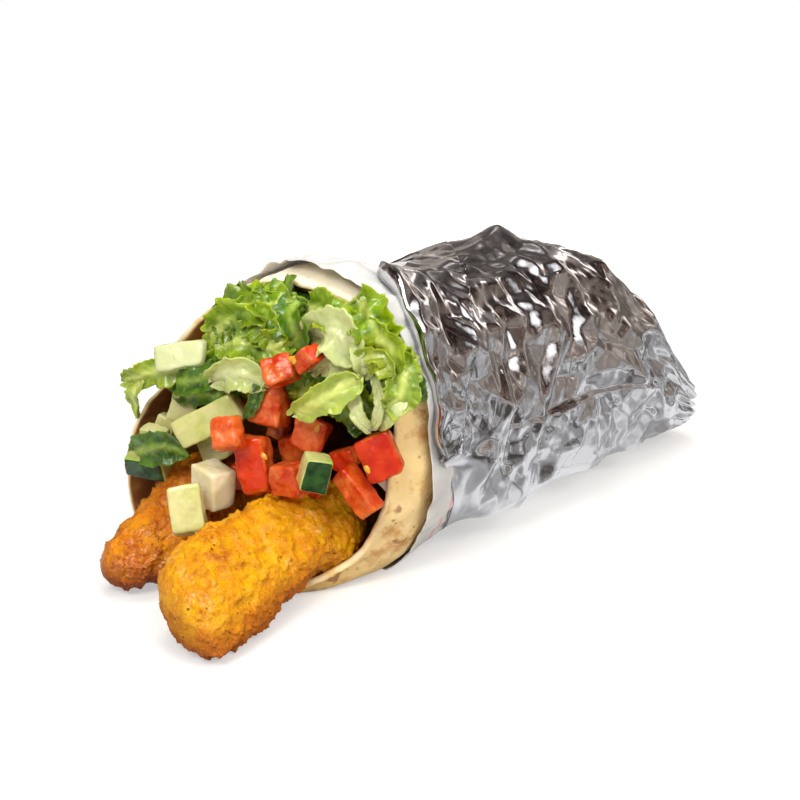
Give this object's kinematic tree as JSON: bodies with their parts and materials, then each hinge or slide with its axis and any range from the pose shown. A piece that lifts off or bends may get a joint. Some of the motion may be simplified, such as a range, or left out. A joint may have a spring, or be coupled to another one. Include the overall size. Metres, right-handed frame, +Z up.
{
  "type": "gyro wrap",
  "caption": "Rolled flatbread wrap lying on its side, full of battered chicken, diced tomato, cucumber and lettuce, in a sleeve of paper and crumpled foil with a crushed tail.",
  "frame": {"origin": "on the table, in the middle of the flat underside that the roll rests on", "axes": "+X along the roll from its open mouth to its foil tail, +Z up, -Y the near side that the mouth leans towards"},
  "size_m": [0.257, 0.1102, 0.0934],
  "materials": {
    "bread": "matt baked flatbread with toasted spots",
    "paper": "thin white greaseproof paper",
    "foil": "bright crumpled foil",
    "batter": "golden fried batter, slightly oily",
    "tomato": "wet cut tomato",
    "cucumber": "wet cut cucumber with dark green peel",
    "lettuce": "crisp wet leaf",
    "onion": "wet translucent slice"
  },
  "bodies": {
    "root": {"bread": "bread", "chicken_far": "batter", "chicken_front": "batter", "cucumber_front_block": "cucumber", "cucumber_half_moon": "cucumber", "cucumber_long_stick": "cucumber", "cucumber_quarter": "cucumber", "cucumber_round_slice": "cucumber", "cucumber_skin_slab": "cucumber", "cucumber_skin_wedge": "cucumber", "cucumber_small_chunk": "cucumber", "cucumber_white_block": "cucumber", "foil": "foil", "lettuce_heap": "lettuce", "lettuce_rib": "lettuce", "onion_slice": "onion", "paper": "paper", "tomato_far_chip": "tomato", "tomato_front_wedge": "tomato", "tomato_low_chip": "tomato", "tomato_low_cube": "tomato", "tomato_middle_chip": "tomato", "tomato_middle_cube": "tomato", "tomato_near_slice": "tomato", "tomato_near_wedge": "tomato", "tomato_rim_chip": "tomato", "tomato_round_corner": "tomato", "tomato_seed_wedge": "tomato", "tomato_shade_chip": "tomato", "tomato_tall_block": "tomato", "tomato_top_block": "tomato", "tomato_top_tip": "tomato", "tomato_upper_cube": "tomato"}
  },
  "joints": []
}
